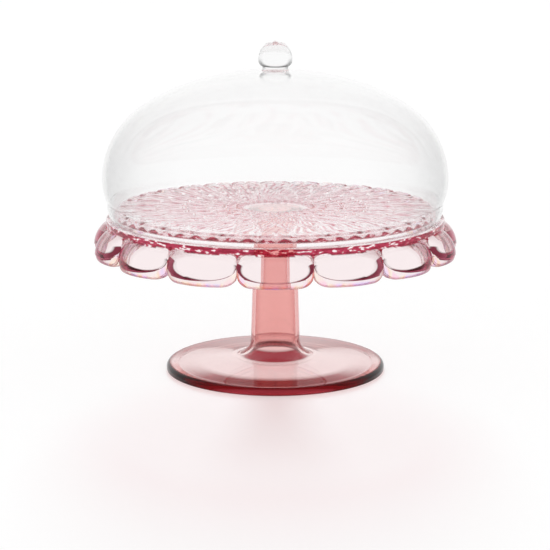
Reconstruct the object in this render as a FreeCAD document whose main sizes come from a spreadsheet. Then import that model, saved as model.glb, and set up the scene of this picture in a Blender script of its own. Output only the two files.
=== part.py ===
import FreeCAD, Part
import os

import Sketcher

# A cake stand with a lifting dome. Millimetres, +Z up. The origin is the centre of the foot's
# resting plane. The plate's middle cabochon faces -Y.

doc = FreeCAD.newDocument("cake_stand")

# Each row: name, value and what the size is. Heights are measured up from the foot's resting plane
# unless the text says otherwise.
SIZES = [
    # pedestal
    ("pedestal_height", 148.0, "resting plane to the stem's top face"),
    ("foot_radius", 102.7, "largest radius of the foot"),
    ("foot_corner", 0.8, "rounding of the foot's lower edge"),
    ("foot_edge_height", 7.1, "height of the foot's top at its rounded edge"),
    ("foot_edge_round", 4.5, "rounding of the foot's upper edge"),
    ("foot_rise", 6.3, "height the foot's top gains from its edge to the stem's flare"),
    ("foot_thickness", 5.6, "thickness of the foot's disc"),
    ("foot_rest_width", 11.0, "width of the flat ring that the foot stands on"),
    ("stem_flare", 15.5, "radius of the curve from the foot into the stem"),
    ("stem_base_radius", 23.0, "stem's outer radius at the top of the lower flare"),
    ("stem_top_radius", 19.4, "stem's outer radius under the upper flare"),
    ("stem_collar_width", 6.0, "how far the upper flare widens the stem"),
    ("stem_collar_height", 7.0, "height of the upper flare"),
    ("stem_wall", 3.6, "wall of the hollow stem"),
    # plate
    ("bed_radius", 149.7, "radius of the raised bed, which centres the dome"),
    ("bed_thickness", 5.0, "thickness of the bed's floor"),
    ("bed_edge_round", 1.5, "rounding of the bed's upper edge"),
    ("rim_wall", 4.7, "wall between the bed and the ledge"),
    ("ledge_drop", 8.0, "height of the bed's floor above the ledge"),
    ("ledge_width", 7.3, "width of the ledge that the dome stands on"),
    ("ledge_thickness", 5.0, "height of the ledge's outer wall"),
    ("boss_depth", 5.0, "length of the boss that locates the plate in the stem's bore"),
    ("bond_gap", 0.15, "glue line around the boss, and around the knob's spigot"),
    # skirt of cabochons
    ("cabochon_count", 15, "cabochons around the skirt"),
    ("cabochon_reach", 14.0, "how far a cabochon stands out beyond the ledge"),
    ("cabochon_inset", 0.8, "how far a cabochon's upper edge lies inside the ledge's outer wall"),
    ("cabochon_drop", 23.5, "ledge's lower face to the widest level of a cabochon"),
    ("cabochon_edge", 5.0, "rounding of a cabochon's lower edge"),
    ("cabochon_bow", 55.3, "radius of a cabochon's face, seen from above"),
    ("cabochon_wall", 6.0, "thickness in the middle of a cabochon's face"),
    ("cabochon_hollow", 36.5, "radius of the hollow behind a cabochon, seen from above"),
    ("cabochon_corner", 13.0, "rounding of a cabochon's lower corners, seen from the front"),
    ("cabochon_notch", 9.5, "height of the notch between two cabochons' lower corners"),
    ("skirt_top", 2.0, "solid height between the ledge and the hollows behind the cabochons"),
    ("hollow_start", 3.0, "how far inside the rim's wall the hollows' curve begins"),
    # petal relief
    ("petal_count", 30, "petals in each ring of the relief"),
    ("petal_height", 2.6, "height of the petals above the bed's floor"),
    ("petal_groove", 1.2, "width of the grooves between petals"),
    ("petal_disc", 30.0, "radius of the plain disc in the middle of the relief"),
    ("petal_margin", 3.3, "plain band between the petals' tips and the bed's edge"),
    ("petal_lobe", 2.6, "how far the two lobes at an outer petal's tip stand out"),
    # dome
    ("dome_wall", 3.2, "wall of the dome"),
    ("dome_gap", 0.8, "gap between the bed's edge and the dome's lower rim"),
    ("dome_rim_height", 10.0, "height of the dome's tapered lower rim"),
    ("dome_rim_taper", 2.3, "how far the lower rim widens over its height"),
    ("dome_neck_height", 6.0, "height of the straight neck above the lower rim"),
    ("dome_overhang", 4.2, "how far the belly stands out beyond the neck"),
    ("dome_tuck", 47.0, "radius of the curve from the neck out to the belly"),
    ("dome_shoulder", 80.3, "radius of the curve above the belly"),
    ("dome_haunch", 172.0, "radius of the curve between shoulder and crown"),
    ("haunch_start", 35.0, "slope, in degrees, where the shoulder meets the haunch"),
    ("crown_start", 17.0, "slope, in degrees, where the haunch meets the crown"),
    ("seat_height", 0.6, "height of the crown's flat seat under the knob"),
    ("seat_margin", 0.7, "width of the seat beyond the knob's neck"),
    # knob
    ("spigot_radius", 8.3, "radius of the knob's spigot"),
    ("neck_radius", 11.9, "radius of the knob's neck"),
    ("neck_height", 2.6, "height of the knob's neck"),
    ("knob_radius", 15.6, "largest radius of the knob"),
    ("knob_belly_height", 5.4, "neck's top to the knob's widest level"),
    ("knob_top_radius", 9.6, "radius of the knob's flat top"),
    ("knob_top_height", 14.6, "knob's widest level to its flat top"),
    ("knob_side_bow", 18.0, "radius of the knob's side, seen from the front"),
    ("knob_under_bow", 6.0, "radius of the curve under the knob"),
    ("bead_radius", 3.2, "radius of the bead on the knob's top"),
    ("bead_height", 3.4, "height of the bead"),
    ("rosette_count", 8, "leaves around the bead"),
    ("rosette_height", 1.4, "height of the leaves"),
    ("rosette_width", 3.4, "width of a leaf"),
]

sheet = doc.addObject("Spreadsheet::Sheet", "Sizes")
for row, (name, size, meaning) in enumerate(SIZES, start=1):
    sheet.set(f"A{row}", name)
    sheet.set(f"B{row}", str(size))
    sheet.setAlias(f"B{row}", name)
    sheet.set(f"C{row}", meaning)
doc.recompute()


def value(expression):
    """The number that an expression over the sheet's sizes has now."""
    return float(sheet.evalExpression(expression))


def origin_item(body, role):
    """One of a body's own origin planes or axes, such as XZ_Plane or Z_Axis."""
    return next(item for item in body.Origin.OriginFeatures if item.Role == role)


def new_body(label):
    body = doc.addObject("PartDesign::Body", label)
    body.Label = label
    return body


def feature(body, kind, name, **settings):
    """Add a PartDesign feature to a body and make it the body's tip."""
    made = body.newObject(f"PartDesign::{kind}", name)
    for setting, content in settings.items():
        setattr(made, setting, content)
    body.Tip = made
    return made


def arc_between(start, end, radius, turn):
    """The smaller arc from start to end: turn is +1 for anticlockwise and -1 for clockwise."""
    chord = end - start
    rise = max(radius ** 2 - (chord.Length / 2) ** 2, 0.0) ** 0.5
    side = FreeCAD.Vector(-chord.y, chord.x, 0).normalize() * turn
    centre = (start + end) * 0.5 + side * rise
    circle = Part.Circle(centre, FreeCAD.Vector(0, 0, 1), radius)
    first, last = (start, end) if turn > 0 else (end, start)
    return Part.ArcOfCircle(circle, circle.parameter(first), circle.parameter(last))


def pin(sketch, edge, end, direction, expression):
    """Hold one coordinate of an edge's end at the value of an expression."""
    if expression == "0":
        axis = -2 if direction == "DistanceX" else -1
        sketch.addConstraint(Sketcher.Constraint("PointOnObject", edge, end, axis))
        return
    number = sketch.addConstraint(Sketcher.Constraint(direction, edge, end, value(expression)))
    sketch.setExpression(f"Constraints[{number}]", expression)


def draw_outline(sketch, outline):
    """Add one closed outline to a sketch, with every corner and radius held."""
    corners = [FreeCAD.Vector(value(x), value(y), 0) for x, y, *bend in outline]
    edges = []
    for number, (x, y, *bend) in enumerate(outline):
        start, end = corners[number - 1], corners[number]
        if bend:
            radius, turn = bend
            edge = sketch.addGeometry(arc_between(start, end, value(radius), turn), False)
            held = sketch.addConstraint(Sketcher.Constraint("Radius", edge, value(radius)))
            sketch.setExpression(f"Constraints[{held}]", radius)
            edges.append((edge, 1, 2) if turn > 0 else (edge, 2, 1))
        else:
            edges.append((sketch.addGeometry(Part.LineSegment(start, end), False), 1, 2))
    for number, (x, y, *bend) in enumerate(outline):
        edge, first, last = edges[number]
        following = edges[(number + 1) % len(edges)]
        joint = Sketcher.Constraint("Coincident", edge, last, following[0], following[1])
        sketch.addConstraint(joint)
        pin(sketch, edge, last, "DistanceX", x)
        pin(sketch, edge, last, "DistanceY", y)


def draw(body, name, plane, *outlines, axis=None):
    """A fully held sketch of closed outlines. Each corner of an outline is (x, y), reached by a
    straight edge, or (x, y, radius, turn), reached by an arc. axis is an upright centre line's x."""
    sketch = body.newObject("Sketcher::SketchObject", name)
    sketch.AttachmentSupport = [(origin_item(body, plane), "")]
    sketch.MapMode = "FlatFace"
    for outline in outlines:
        draw_outline(sketch, outline)
    if axis is not None:
        low = FreeCAD.Vector(value(axis), 0, 0)
        line = sketch.addGeometry(Part.LineSegment(low, low + FreeCAD.Vector(0, 10, 0)), True)
        sketch.addConstraint(Sketcher.Constraint("Vertical", line))
        pin(sketch, line, 1, "DistanceX", axis)
        pin(sketch, line, 1, "DistanceY", "0")
        sketch.addConstraint(Sketcher.Constraint("DistanceY", line, 1, line, 2, 10.0))
    return sketch


def turned(body, kind, name, sketch, local=False):
    """A revolution or groove, all the way round the body's Z axis or the sketch's own line."""
    axis = (sketch, ["Axis0"]) if local else (origin_item(body, "Z_Axis"), [""])
    return feature(body, kind, name, Profile=sketch, ReferenceAxis=axis, Angle=360.0)


def around(body, name, originals, count):
    """Copy features evenly around the body's Z axis."""
    axis = (origin_item(body, "Z_Axis"), [""])
    pattern = feature(body, "PolarPattern", name, Originals=originals, Axis=axis, Angle=360.0)
    pattern.setExpression("Occurrences", count)
    return pattern


def size(*names):
    """Sheet sizes added up, written as one bracketed expression."""
    return "(" + " + ".join(f"Sizes.{name}" for name in names) + ")"


# Levels and radii that more than one piece is built to.
STEM_TOP = "Sizes.pedestal_height"
FLOOR = size("pedestal_height", "bed_thickness")
LEDGE = f"({FLOOR} - Sizes.ledge_drop)"
LEDGE_UNDER = f"({LEDGE} - Sizes.ledge_thickness)"
LEDGE_RADIUS = size("bed_radius", "ledge_width")
RIM_WALL_IN = "(Sizes.bed_radius - Sizes.rim_wall)"
BORE_TOP = "(Sizes.stem_top_radius - Sizes.stem_wall)"
HOLE_RADIUS = size("spigot_radius", "bond_gap")


def make_pedestal():
    """Foot and hollow stem, turned in one piece and open at both ends of the bore."""
    edge_in = "(Sizes.foot_radius - Sizes.foot_edge_round)"
    flare_out = size("stem_base_radius", "stem_flare")
    foot_top = size("foot_edge_height", "foot_rise")
    flare_top = size("foot_edge_height", "foot_rise", "stem_flare")
    flare_in = f"({foot_top} - Sizes.foot_thickness)"
    bore_base = "(Sizes.stem_base_radius - Sizes.stem_wall)"
    bore_flare = size("stem_flare", "stem_wall")
    rest_in = "(Sizes.foot_radius - Sizes.foot_corner - Sizes.foot_rest_width)"
    collar_base = "(Sizes.pedestal_height - Sizes.stem_collar_height)"
    collar_radius = size("stem_top_radius", "stem_collar_width")
    collar_bow = ("((Sizes.stem_collar_width^2 + Sizes.stem_collar_height^2)"
                  " / (2 * Sizes.stem_collar_width))")
    outline = [
        (rest_in, "0"),
        ("(Sizes.foot_radius - Sizes.foot_corner)", "0"),
        ("Sizes.foot_radius", "Sizes.foot_corner", "Sizes.foot_corner", 1),
        ("Sizes.foot_radius", "(Sizes.foot_edge_height - Sizes.foot_edge_round)"),
        (edge_in, "Sizes.foot_edge_height", "Sizes.foot_edge_round", 1),
        (flare_out, foot_top),
        ("Sizes.stem_base_radius", flare_top, "Sizes.stem_flare", -1),
        ("Sizes.stem_top_radius", collar_base),
        (collar_radius, STEM_TOP, collar_bow, -1),
        (BORE_TOP, STEM_TOP),
        (bore_base, flare_top),
        (f"({bore_base} + {bore_flare})", flare_in, bore_flare, 1),
        (rest_in, "(Sizes.foot_edge_height - Sizes.foot_thickness)"),
    ]
    body = new_body("pedestal")
    turned(body, "Revolution", "foot_and_stem", draw(body, "pedestal_outline", "XZ_Plane", outline))
    return body


def petal_outline(inner, widest, outer, half_turn):
    """A leaf from an inner to an outer radius, turned aside by half a pitch if asked."""
    side = "180 / Sizes.petal_count" if half_turn else "0"
    half_length = f"(({outer} - {inner}) / 2)"
    half_width = f"({widest} * pi / Sizes.petal_count - Sizes.petal_groove / 2)"
    bow = f"(({half_length}^2 + {half_width}^2) / (2 * {half_width}))"
    tips = []
    for radius in (inner, outer):
        across = f"({radius} * sin({side}))" if half_turn else "0"
        tips.append((across, f"({radius} * cos({side}))"))
    return [(*tips[0], bow, 1), (*tips[1], bow, 1)]


def outer_petal_outline(inner, shoulder, tip):
    """A petal that ends in two round lobes at the edge of the bed."""
    half_pitch = "180 / Sizes.petal_count"
    half_groove = "Sizes.petal_groove / 2"
    shoulder_x = f"({shoulder} * sin({half_pitch}) - {half_groove})"
    shoulder_y = f"({shoulder} * cos({half_pitch}))"
    lobe_y = f"(({tip} - Sizes.petal_lobe) * cos({half_pitch}))"
    lobe_x = f"({lobe_y} * tan({half_pitch}) - {half_groove})"
    lobe_bow = f"(({lobe_x}^2 / 4 + Sizes.petal_lobe^2) / (2 * Sizes.petal_lobe))"
    length = f"({shoulder_y} - {inner})"
    bow = f"(({length}^2 + {shoulder_x}^2) / (2 * {shoulder_x}))"
    return [
        ("0", inner, bow, 1),
        (shoulder_x, shoulder_y, bow, 1),
        (lobe_x, lobe_y),
        ("0", lobe_y, lobe_bow, 1),
        (f"(-{lobe_x})", lobe_y, lobe_bow, 1),
        (f"(-{shoulder_x})", shoulder_y),
    ]


def add_petals(body):
    """Rings of petals on the bed's floor. Their radii grow by the same ratio from ring to ring."""
    rings = 6
    tip = "(Sizes.bed_radius - Sizes.petal_margin)"
    radii = [f"(Sizes.petal_disc * ({tip} / Sizes.petal_disc)^({ring} / {rings}))"
             for ring in range(rings + 1)]
    groove = "Sizes.petal_groove"
    outlines = []
    for ring in range(1, rings - 1):
        inner = f"({radii[ring - 1]} + {groove})"
        outer = f"({radii[ring + 1]} - {groove})"
        outlines.append(petal_outline(inner, radii[ring], outer, ring % 2 == 0))
    outlines.append(outer_petal_outline(f"({radii[-3]} + {groove})", radii[-2], radii[-1]))
    sketch = draw(body, "petal_outlines", "XY_Plane", *outlines)
    sketch.setExpression("AttachmentOffset.Base.z", FLOOR)
    one_sector = feature(body, "Pad", "petal_sector", Profile=sketch)
    one_sector.setExpression("Length", "Sizes.petal_height")
    around(body, "petals", [one_sector], "Sizes.petal_count")


def make_plate():
    """Petal bed, rim, ledge and skirt in one moulding."""
    reach = f"({LEDGE_RADIUS} + Sizes.cabochon_reach)"
    centre = f"({reach} - Sizes.cabochon_bow)"
    widest = f"({LEDGE_UNDER} - Sizes.cabochon_drop)"
    low = f"({widest} - Sizes.cabochon_edge)"
    upper = f"({LEDGE_RADIUS} - Sizes.cabochon_inset)"
    swell = size("cabochon_reach", "cabochon_inset")
    face_bow = f"(({swell}^2 + Sizes.cabochon_drop^2) / (2 * {swell}))"
    body = new_body("plate")

    outline = [
        (centre, low),
        (f"({reach} - Sizes.cabochon_edge)", low),
        (reach, widest, "Sizes.cabochon_edge", 1),
        (upper, LEDGE_UNDER, face_bow, 1),
        (centre, LEDGE_UNDER),
    ]
    sketch = draw(body, "cabochon_outline", "YZ_Plane", outline, axis=centre)
    cabochon = turned(body, "Revolution", "cabochon", sketch, local=True)
    around(body, "cabochons", [cabochon], "Sizes.cabochon_count")

    outline = [
        ("0", f"({low} - Sizes.cabochon_edge)"),
        (RIM_WALL_IN, f"({low} - Sizes.cabochon_edge)"),
        (RIM_WALL_IN, LEDGE_UNDER),
        ("0", LEDGE_UNDER),
    ]
    turned(body, "Groove", "skirt_hollow", draw(body, "skirt_hollow_outline", "XZ_Plane", outline))

    # The hollow behind each face is open below, so that the moulding draws.
    deepest = f"({reach} - Sizes.cabochon_wall)"
    hollow_centre = f"({deepest} - Sizes.cabochon_hollow)"
    hollow_top = f"({LEDGE_UNDER} - Sizes.skirt_top)"
    hollow_in = f"({RIM_WALL_IN} - Sizes.hollow_start)"
    hollow_rise = f"({hollow_top} - {widest})"
    hollow_run = f"({deepest} - {hollow_in})"
    hollow_bow = f"(({hollow_rise}^2 + {hollow_run}^2) / (2 * {hollow_run}))"
    outline = [
        (hollow_centre, f"({low} - Sizes.cabochon_edge)"),
        (deepest, f"({low} - Sizes.cabochon_edge)"),
        (deepest, widest),
        (hollow_in, hollow_top, hollow_bow, 1),
        (hollow_centre, hollow_top),
    ]
    sketch = draw(body, "face_hollow_outline", "YZ_Plane", outline, axis=hollow_centre)
    hollow = turned(body, "Groove", "face_hollow", sketch, local=True)
    around(body, "face_hollows", [hollow], "Sizes.cabochon_count")

    # The notch where two cabochons' round lower corners meet.
    corner_level = f"({low} + Sizes.cabochon_corner)"
    corner_run = (f"sqrt(Sizes.cabochon_corner^2"
                  f" - ({corner_level} - {low} - Sizes.cabochon_notch)^2)")
    outline = [
        (f"(-{corner_run})", low, "Sizes.cabochon_corner", -1),
        (f"(-{corner_run})", f"({low} - Sizes.cabochon_edge)"),
        (corner_run, f"({low} - Sizes.cabochon_edge)"),
        (corner_run, low),
        ("0", f"({low} + Sizes.cabochon_notch)", "Sizes.cabochon_corner", -1),
    ]
    sketch = draw(body, "notch_outline", "XZ_Plane", outline)
    notch = feature(body, "Pocket", "notch", Profile=sketch, Reversed=True)
    notch.setExpression("Length", f"{reach} + Sizes.cabochon_edge")
    around(body, "notches", [notch], "Sizes.cabochon_count")

    boss_radius = f"({BORE_TOP} - Sizes.bond_gap)"
    outline = [
        ("0", f"({STEM_TOP} - Sizes.boss_depth)"),
        (boss_radius, f"({STEM_TOP} - Sizes.boss_depth)"),
        (boss_radius, STEM_TOP),
        (RIM_WALL_IN, STEM_TOP),
        (RIM_WALL_IN, LEDGE_UNDER),
        (LEDGE_RADIUS, LEDGE_UNDER),
        (LEDGE_RADIUS, LEDGE),
        ("Sizes.bed_radius", LEDGE),
        ("Sizes.bed_radius", f"({FLOOR} - Sizes.bed_edge_round)"),
        ("(Sizes.bed_radius - Sizes.bed_edge_round)", FLOOR, "Sizes.bed_edge_round", 1),
        ("0", FLOOR),
    ]
    turned(body, "Revolution", "bed", draw(body, "bed_outline", "XZ_Plane", outline))
    add_petals(body)
    # The cabochons are drawn on +Y, and one of them faces the front.
    body.Placement = FreeCAD.Placement(FreeCAD.Vector(), FreeCAD.Rotation(180, 0, 0))
    return body


# The dome's outline, from the sizes of the bed that it stands around.
RIM_IN = size("bed_radius", "dome_gap")
RIM_OUT = size("bed_radius", "dome_gap", "dome_wall")
NECK_OUT = size("bed_radius", "dome_gap", "dome_wall", "dome_rim_taper")
NECK_TOP = f"({LEDGE} + Sizes.dome_rim_height + Sizes.dome_neck_height)"
BELLY = f"({NECK_OUT} + Sizes.dome_overhang)"
BELLY_LEVEL = (f"({NECK_TOP} + sqrt(Sizes.dome_tuck^2"
               f" - (Sizes.dome_tuck - Sizes.dome_overhang)^2))")
SHOULDER_CENTRE = f"({BELLY} - Sizes.dome_shoulder)"
SHOULDER_END = f"({SHOULDER_CENTRE} + Sizes.dome_shoulder * sin(Sizes.haunch_start))"
SHOULDER_END_LEVEL = f"({BELLY_LEVEL} + Sizes.dome_shoulder * cos(Sizes.haunch_start))"
HAUNCH_CENTRE = f"({SHOULDER_END} - Sizes.dome_haunch * sin(Sizes.haunch_start))"
HAUNCH_LEVEL = f"({SHOULDER_END_LEVEL} - Sizes.dome_haunch * cos(Sizes.haunch_start))"
HAUNCH_END = f"({HAUNCH_CENTRE} + Sizes.dome_haunch * sin(Sizes.crown_start))"
HAUNCH_END_LEVEL = f"({HAUNCH_LEVEL} + Sizes.dome_haunch * cos(Sizes.crown_start))"
CROWN = f"({HAUNCH_END} / sin(Sizes.crown_start))"
CROWN_LEVEL = f"({HAUNCH_END_LEVEL} - {CROWN} * cos(Sizes.crown_start))"
SEAT_LEVEL = f"({CROWN_LEVEL} + {CROWN} + Sizes.seat_height)"
SEAT_RADIUS = size("neck_radius", "seat_margin")


def make_dome_shell():
    """Thin-walled dome with a hole for the knob's spigot and a flat seat around the hole."""
    wall = "Sizes.dome_wall"
    inner_crown = f"({CROWN} - {wall})"
    hole_level = f"({CROWN_LEVEL} + sqrt({inner_crown}^2 - {HOLE_RADIUS}^2))"
    seat_foot = f"({CROWN_LEVEL} + sqrt({CROWN}^2 - {SEAT_RADIUS}^2))"
    rim_top = f"({LEDGE} + Sizes.dome_rim_height)"
    sin_haunch, cos_haunch = "sin(Sizes.haunch_start)", "cos(Sizes.haunch_start)"
    sin_crown, cos_crown = "sin(Sizes.crown_start)", "cos(Sizes.crown_start)"
    outline = [
        (RIM_IN, LEDGE),
        (RIM_OUT, LEDGE),
        (NECK_OUT, rim_top),
        (NECK_OUT, NECK_TOP),
        (BELLY, BELLY_LEVEL, "Sizes.dome_tuck", 1),
        (SHOULDER_END, SHOULDER_END_LEVEL, "Sizes.dome_shoulder", 1),
        (HAUNCH_END, HAUNCH_END_LEVEL, "Sizes.dome_haunch", 1),
        (SEAT_RADIUS, seat_foot, CROWN, 1),
        (SEAT_RADIUS, SEAT_LEVEL),
        (HOLE_RADIUS, SEAT_LEVEL),
        (HOLE_RADIUS, hole_level),
        (f"({HAUNCH_END} - {wall} * {sin_crown})",
         f"({HAUNCH_END_LEVEL} - {wall} * {cos_crown})", inner_crown, -1),
        (f"({SHOULDER_END} - {wall} * {sin_haunch})",
         f"({SHOULDER_END_LEVEL} - {wall} * {cos_haunch})", f"(Sizes.dome_haunch - {wall})", -1),
        (f"({BELLY} - {wall})", BELLY_LEVEL, f"(Sizes.dome_shoulder - {wall})", -1),
        (f"({NECK_OUT} - {wall})", NECK_TOP, "Sizes.dome_tuck", -1),
        (f"({NECK_OUT} - {wall})", rim_top),
    ]
    body = new_body("dome_shell")
    turned(body, "Revolution", "shell", draw(body, "shell_outline", "XZ_Plane", outline))
    return body


def make_dome_knob():
    """Knob with its spigot, a bead on top and a rosette of leaves around the bead."""
    neck_top = f"({SEAT_LEVEL} + Sizes.neck_height)"
    widest = f"({neck_top} + Sizes.knob_belly_height)"
    flat_top = f"({widest} + Sizes.knob_top_height)"
    spigot_end = f"({SEAT_LEVEL} - Sizes.seat_height - Sizes.dome_wall)"
    bead_bow = "((Sizes.bead_radius^2 + Sizes.bead_height^2) / (2 * Sizes.bead_height))"
    outline = [
        ("0", spigot_end),
        ("Sizes.spigot_radius", spigot_end),
        ("Sizes.spigot_radius", SEAT_LEVEL),
        ("Sizes.neck_radius", SEAT_LEVEL),
        ("Sizes.neck_radius", neck_top),
        ("Sizes.knob_radius", widest, "Sizes.knob_under_bow", 1),
        ("Sizes.knob_top_radius", flat_top, "Sizes.knob_side_bow", 1),
        ("Sizes.bead_radius", flat_top),
        ("0", f"({flat_top} + Sizes.bead_height)", bead_bow, 1),
    ]
    body = new_body("dome_knob")
    turned(body, "Revolution", "knob", draw(body, "knob_outline", "XZ_Plane", outline))

    half_length = "((Sizes.knob_top_radius - Sizes.bead_radius) / 2)"
    half_width = "(Sizes.rosette_width / 2)"
    bow = f"(({half_length}^2 + {half_width}^2) / (2 * {half_width}))"
    leaf = [("0", "Sizes.bead_radius", bow, 1), ("0", "Sizes.knob_top_radius", bow, 1)]
    sketch = draw(body, "leaf_outline", "XY_Plane", leaf)
    sketch.setExpression("AttachmentOffset.Base.z", flat_top)
    pad = feature(body, "Pad", "leaf", Profile=sketch)
    pad.setExpression("Length", "Sizes.rosette_height")
    around(body, "rosette", [pad], "Sizes.rosette_count")
    return body


parts = [make_pedestal(), make_plate(), make_dome_shell(), make_dome_knob()]
doc.recompute()

failed = [item.Name for item in doc.Objects if {"Invalid", "Error"} & set(item.State)]
if failed:
    raise RuntimeError(f"these objects failed to compute: {', '.join(failed)}")
for part in parts:
    if part.Shape.isNull() or not part.Shape.isValid() or len(part.Shape.Solids) != 1:
        raise RuntimeError(f"{part.Label} is not one valid solid")

os.makedirs("parts", exist_ok=True)
for part in parts:
    part.Shape.exportStep(f"parts/{part.Label}.step")
    box = part.Shape.BoundBox
    print(f"{part.Label}: volume {part.Shape.Volume / 1000:.1f} cm3,"
          f" radius {box.XMax:.2f}, z {box.ZMin:.2f} to {box.ZMax:.2f}")
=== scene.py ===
"""A cake stand with a lifting dome: four see-through pieces around the frame, a floor, a white
studio and a camera. Everything is drawn from named sizes and from the frame's own boxes."""

import math

import bmesh
import bpy
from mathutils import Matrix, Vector


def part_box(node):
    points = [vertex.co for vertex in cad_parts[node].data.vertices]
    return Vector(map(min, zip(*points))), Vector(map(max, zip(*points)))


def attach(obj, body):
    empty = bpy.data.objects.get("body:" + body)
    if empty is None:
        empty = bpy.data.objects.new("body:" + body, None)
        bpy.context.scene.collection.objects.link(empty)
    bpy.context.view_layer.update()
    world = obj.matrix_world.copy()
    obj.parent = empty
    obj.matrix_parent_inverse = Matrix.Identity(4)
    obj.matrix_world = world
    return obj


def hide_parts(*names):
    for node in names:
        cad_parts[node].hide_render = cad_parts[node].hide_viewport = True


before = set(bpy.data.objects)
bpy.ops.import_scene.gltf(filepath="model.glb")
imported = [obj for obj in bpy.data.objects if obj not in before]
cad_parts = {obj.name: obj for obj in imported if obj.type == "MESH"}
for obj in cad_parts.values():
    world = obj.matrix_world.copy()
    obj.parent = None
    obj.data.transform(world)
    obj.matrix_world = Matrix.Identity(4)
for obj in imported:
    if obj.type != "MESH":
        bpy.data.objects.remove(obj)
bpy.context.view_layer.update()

# Sizes in millimetres, as the frame has them. The origin is the centre of the foot's resting
# plane, +Z is up and the front is -Y. Outlines are lists of (radius, height) points.
MM = 0.001
TAU = 2 * math.pi
LOWEST, HIGHEST = 0, 1
X, Z = 0, 2


def limit(node, corner, axis):
    """A coordinate, in millimetres, of the lowest or highest corner of a CAD node's box."""
    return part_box(node)[corner][axis] / MM


# Levels and radii read from the frame.
FOOT_RADIUS = limit("pedestal", HIGHEST, X)
STEM_TOP = limit("pedestal", HIGHEST, Z)
SKIRT_LOW = limit("plate", LOWEST, Z)
PETAL_TOP = limit("plate", HIGHEST, Z)
LEDGE = limit("dome_shell", LOWEST, Z)
BELLY = limit("dome_shell", HIGHEST, X)
SEAT_LEVEL = limit("dome_shell", HIGHEST, Z)
KNOB_RADIUS = limit("dome_knob", HIGHEST, X)
KNOB_TOP = limit("dome_knob", HIGHEST, Z)
SPIGOT_END = limit("dome_knob", LOWEST, Z)

# Faces that touch in the part are drawn this far apart, so that the clear pieces stay clean.
GAP = 0.08
TINY = 1e-6


# Outlines and meshes.
def arc(centre, radius, first, last, steps):
    """Points on an arc from one angle to another, in degrees."""
    points = []
    for step in range(steps + 1):
        angle = math.radians(first + (last - first) * step / steps)
        points.append((centre[0] + radius * math.cos(angle), centre[1] + radius * math.sin(angle)))
    return points


def bow(start, end, radius, turn, steps):
    """Points on the smaller arc between two points, without the first. turn is +1 for
    anticlockwise and -1 for clockwise."""
    run, rise = end[0] - start[0], end[1] - start[1]
    chord = math.hypot(run, rise)
    stand = math.sqrt(max(radius ** 2 - (chord / 2) ** 2, 0.0)) * turn
    centre = ((start[0] + end[0]) / 2 - rise / chord * stand,
              (start[1] + end[1]) / 2 + run / chord * stand)
    first = math.degrees(math.atan2(start[1] - centre[1], start[0] - centre[0]))
    last = math.degrees(math.atan2(end[1] - centre[1], end[0] - centre[0]))
    if turn > 0 and last < first:
        last += 360
    if turn < 0 and last > first:
        last -= 360
    return arc(centre, radius, first, last, steps)[1:]


def line(start, end, steps):
    """Evenly spaced points from start to end, without the first."""
    return [(start[0] + (end[0] - start[0]) * step / steps,
             start[1] + (end[1] - start[1]) * step / steps) for step in range(1, steps + 1)]


def bezier(start, middle, end, steps):
    """Points on a curve from start to end that is pulled towards middle, without the first."""
    points = []
    for step in range(1, steps + 1):
        part = step / steps
        keep = 1 - part
        points.append(tuple(keep * keep * a + 2 * keep * part * b + part * part * c
                            for a, b, c in zip(start, middle, end)))
    return points


def smooth(low, high, value):
    """0 below low, 1 above high and a smooth step between."""
    share = min(max((value - low) / (high - low), 0.0), 1.0)
    return share * share * (3 - 2 * share)


def ring_mesh(name, rings, sharp_degrees):
    """A closed mesh from rings of points around the Z axis, with the last ring joined to the
    first. A ring of one point is a pole."""
    mesh = bmesh.new()
    made = [[mesh.verts.new(Vector(point) * MM) for point in ring] for ring in rings]
    for lower, upper in zip(made, made[1:] + made[:1]):
        count = max(len(lower), len(upper))
        if count == 1:
            continue
        for step in range(count):
            corners = [lower[step % len(lower)], lower[(step + 1) % len(lower)],
                       upper[(step + 1) % len(upper)], upper[step % len(upper)]]
            mesh.faces.new(list(dict.fromkeys(corners)))
    bmesh.ops.recalc_face_normals(mesh, faces=mesh.faces)
    data = bpy.data.meshes.new(name)
    mesh.to_mesh(data)
    mesh.free()
    data.shade_smooth()
    data.set_sharp_from_angle(angle=math.radians(sharp_degrees))
    piece = bpy.data.objects.new(name, data)
    bpy.context.scene.collection.objects.link(piece)
    return piece


def turned(name, outline, steps, sharp_degrees):
    """A piece turned from an outline. Points on the axis are poles."""
    rings = []
    for radius, height in outline:
        if radius < TINY:
            rings.append([(0.0, 0.0, height)])
            continue
        ring = []
        for step in range(steps):
            angle = TAU * step / steps
            ring.append((radius * math.cos(angle), radius * math.sin(angle), height))
        rings.append(ring)
    return ring_mesh(name, rings, sharp_degrees)


def paint(piece, zones):
    """Keeps three masks at each point: zones(radius, angle, height) in millimetres gives them.
    The angle starts at the front."""
    layer = piece.data.attributes.new("zone", "FLOAT_COLOR", "POINT")
    for index, vertex in enumerate(piece.data.vertices):
        x, y, z = (value / MM for value in vertex.co)
        layer.data[index].color = (*zones(math.hypot(x, y), math.atan2(x, -y), z), 1.0)


# Pedestal: a wide foot and a hollow stem, open at both ends.
FOOT_WALL = 5.6
FOOT_EDGE = 7.1
FOOT_TOP = 13.4
FOOT_UNDER = FOOT_EDGE - FOOT_WALL
EDGE_ROUND = 4.5
BASE_ROUND = 0.8
REST_IN = FOOT_RADIUS - 11.8
FLARE = 15.5
STEM_WALL = 3.6
STEM_LOW = 23.0
STEM_HIGH = 19.4
COLLAR = 25.4
COLLAR_BOW = 7.1
COLLAR_DEPTH = 7.0


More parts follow.
